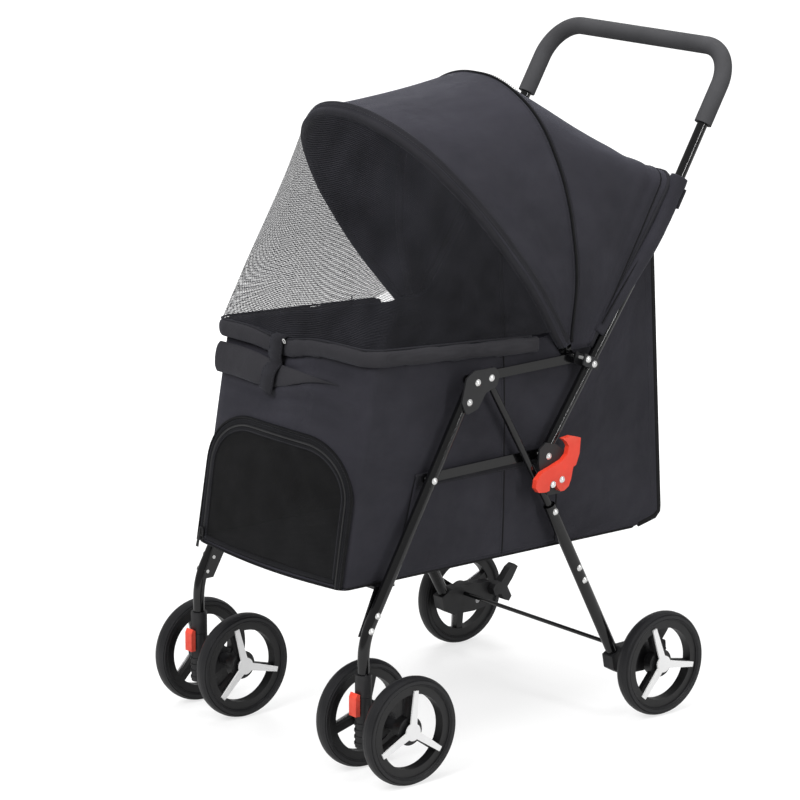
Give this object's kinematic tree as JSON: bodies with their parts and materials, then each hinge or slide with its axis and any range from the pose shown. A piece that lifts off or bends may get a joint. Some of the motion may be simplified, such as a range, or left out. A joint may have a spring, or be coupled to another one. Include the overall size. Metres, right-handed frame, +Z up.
{
  "type": "pet stroller",
  "caption": "Folding pet stroller with a fabric cabin, mesh front door, hood on bent bows, push bar, twin swivel front casters and braked rear wheels",
  "frame": {"origin": "on the ground, under the middle of the bounding box", "axes": "+X across, to the right as seen from the front (names with left and right follow this view); -Y is the front, the way it travels; +Z up"},
  "size_m": [0.496, 0.7064, 0.9395],
  "materials": {
    "frame_tube": "gloss black powder coat",
    "black_plastic": "fine moulded texture",
    "rivet_metal": "bright nickel",
    "axle_steel": "turned",
    "red_plastic": "semi-gloss",
    "foam_grip": "fine foam",
    "floor_board": "board wrapped in cloth",
    "fabric_black": "tight plain weave with a soft sheen",
    "mesh_black": "open net",
    "tyre": "satin moulded",
    "rim_plastic": "satin moulded",
    "white_plastic": "semi-gloss"
  },
  "bodies": {
    "front_frame": {"front_leg_left": "frame_tube", "front_leg_right": "frame_tube", "hinge_brackets": "black_plastic", "front_cross_brace": "frame_tube", "caster_sockets": "black_plastic", "bag_floor": "floor_board", "bag_front_panel": "fabric_black", "bag_left_panel": "fabric_black", "bag_right_panel": "fabric_black", "bag_rear_panel": "fabric_black", "rim_sleeve": "fabric_black", "side_pockets": "fabric_black", "canopy_hinges": "black_plastic", "frame_rivets": "rivet_metal"},
    "rear_frame": {"rear_struts": "frame_tube", "rear_leg_left": "frame_tube", "rear_leg_right": "frame_tube", "rear_foot_left": "black_plastic", "rear_foot_right": "black_plastic", "rear_axles": "axle_steel", "brake_cross_rod": "frame_tube", "rear_rivets": "rivet_metal"},
    "upper_links": {"upper_links": "frame_tube"},
    "lower_links": {"lower_links": "frame_tube"},
    "handle_frame": {"handle_tube": "frame_tube", "handle_grip": "foam_grip", "handle_brackets": "black_plastic", "handle_rivets": "rivet_metal"},
    "latch_left": {"latch_left": "red_plastic"},
    "latch_right": {"latch_right": "red_plastic"},
    "mid_bow": {"mid_bow": "frame_tube", "canopy_rear_panel": "fabric_black"},
    "front_bow": {"front_bow": "frame_tube", "canopy_mid_panel": "fabric_black", "canopy_front_mesh": "mesh_black"},
    "front_door": {"front_door": "mesh_black"},
    "caster_left": {"caster_fork_left": "black_plastic"},
    "swivel_lock_left": {"swivel_lock_left": "red_plastic"},
    "brake_pedal_left": {"brake_pedal_left": "black_plastic"},
    "wheel_front_left_inner": {"tyre_front_left_inner": "tyre", "rim_front_left_inner": "rim_plastic", "spokes_front_left_inner": "white_plastic"},
    "wheel_front_left_outer": {"tyre_front_left_outer": "tyre", "rim_front_left_outer": "rim_plastic", "spokes_front_left_outer": "white_plastic"},
    "wheel_rear_left": {"tyre_rear_left": "tyre", "rim_rear_left": "rim_plastic", "spokes_rear_left": "white_plastic"},
    "caster_right": {"caster_fork_right": "black_plastic"},
    "swivel_lock_right": {"swivel_lock_right": "red_plastic"},
    "brake_pedal_right": {"brake_pedal_right": "black_plastic"},
    "wheel_front_right_inner": {"tyre_front_right_inner": "tyre", "rim_front_right_inner": "rim_plastic", "spokes_front_right_inner": "white_plastic"},
    "wheel_front_right_outer": {"tyre_front_right_outer": "tyre", "rim_front_right_outer": "rim_plastic", "spokes_front_right_outer": "white_plastic"},
    "wheel_rear_right": {"tyre_rear_right": "tyre", "rim_rear_right": "rim_plastic", "spokes_rear_right": "white_plastic"}
  },
  "joints": [
    {"name": "frame_fold", "type": "hinge", "parent": "front_frame", "child": "rear_frame", "pos_m": [0, -0.10745, 0.525], "axis": [1, 0, 0], "range_deg": [-38, 0]},
    {"name": "upper_link_fold", "type": "hinge", "parent": "front_frame", "child": "upper_links", "pos_m": [0, -0.13145, 0.522], "axis": [1, 0, 0], "range_deg": [-57, 0]},
    {"name": "handle_fold", "type": "hinge", "parent": "upper_links", "child": "handle_frame", "pos_m": [0, 0.06655, 0.526], "axis": [1, 0, 0], "range_deg": [0, 57], "deforming": ["canopy_rear_panel"]},
    {"name": "lower_link_fold", "type": "hinge", "parent": "front_frame", "child": "lower_links", "pos_m": [0, -0.20265, 0.3968], "axis": [1, 0, 0], "range_deg": [-57, 0]},
    {"name": "latch_left_release", "type": "hinge", "parent": "handle_frame", "child": "latch_left", "pos_m": [0, 0.01255, 0.367], "axis": [1, 0, 0], "range_deg": [-25, 0]},
    {"name": "latch_right_release", "type": "hinge", "parent": "handle_frame", "child": "latch_right", "pos_m": [0, 0.01255, 0.367], "axis": [1, 0, 0], "range_deg": [-25, 0]},
    {"name": "canopy_fold", "type": "hinge", "parent": "front_frame", "child": "mid_bow", "pos_m": [0, 0.05455, 0.524], "axis": [1, 0, 0], "range_deg": [-32, 0]},
    {"name": "canopy_front_fold", "type": "hinge", "parent": "mid_bow", "child": "front_bow", "pos_m": [0, 0.05455, 0.524], "axis": [1, 0, 0], "range_deg": [-18, 0], "deforming": ["canopy_mid_panel", "canopy_front_mesh"]},
    {"name": "front_door_open", "type": "hinge", "parent": "front_frame", "child": "front_door", "pos_m": [0, -0.33374, 0.26734], "axis": [1, 0, 0], "range_deg": [0, 100]},
    {"name": "caster_left_swivel", "type": "hinge", "parent": "front_frame", "child": "caster_left", "pos_m": [-0.187, -0.31745, 0.118], "axis": [0, 0, 1], "continuous": true},
    {"name": "swivel_lock_left_slide", "type": "slide", "parent": "caster_left", "child": "swivel_lock_left", "axis": [0, 0, 1], "range_m": [0, 0.006]},
    {"name": "wheel_front_left_inner_spin", "type": "hinge", "parent": "caster_left", "child": "wheel_front_left_inner", "pos_m": [-0.137, -0.27945, 0.075], "axis": [1, 0, 0], "continuous": true},
    {"name": "wheel_front_left_outer_spin", "type": "hinge", "parent": "caster_left", "child": "wheel_front_left_outer", "pos_m": [-0.237, -0.27945, 0.075], "axis": [1, 0, 0], "continuous": true},
    {"name": "wheel_rear_left_spin", "type": "hinge", "parent": "rear_frame", "child": "wheel_rear_left", "pos_m": [-0.221, 0.18755, 0.075], "axis": [1, 0, 0], "continuous": true},
    {"name": "brake_pedal_left_press", "type": "hinge", "parent": "rear_frame", "child": "brake_pedal_left", "pos_m": [0, 0.21355, 0.089], "axis": [1, 0, 0], "range_deg": [-25, 0]},
    {"name": "caster_right_swivel", "type": "hinge", "parent": "front_frame", "child": "caster_right", "pos_m": [0.187, -0.31745, 0.118], "axis": [0, 0, 1], "continuous": true},
    {"name": "swivel_lock_right_slide", "type": "slide", "parent": "caster_right", "child": "swivel_lock_right", "axis": [0, 0, 1], "range_m": [0, 0.006]},
    {"name": "wheel_front_right_inner_spin", "type": "hinge", "parent": "caster_right", "child": "wheel_front_right_inner", "pos_m": [0.137, -0.27945, 0.075], "axis": [1, 0, 0], "continuous": true},
    {"name": "wheel_front_right_outer_spin", "type": "hinge", "parent": "caster_right", "child": "wheel_front_right_outer", "pos_m": [0.237, -0.27945, 0.075], "axis": [1, 0, 0], "continuous": true},
    {"name": "wheel_rear_right_spin", "type": "hinge", "parent": "rear_frame", "child": "wheel_rear_right", "pos_m": [0.221, 0.18755, 0.075], "axis": [1, 0, 0], "continuous": true},
    {"name": "brake_pedal_right_press", "type": "hinge", "parent": "rear_frame", "child": "brake_pedal_right", "pos_m": [0, 0.21355, 0.089], "axis": [1, 0, 0], "range_deg": [-25, 0]}
  ],
  "couplings": [
    {"joint": "upper_link_fold", "follows": "frame_fold", "ratio": 1.5},
    {"joint": "handle_fold", "follows": "frame_fold", "ratio": -1.5},
    {"joint": "lower_link_fold", "follows": "frame_fold", "ratio": 1.5},
    {"joint": "canopy_front_fold", "follows": "canopy_fold", "ratio": 0.5625}
  ]
}
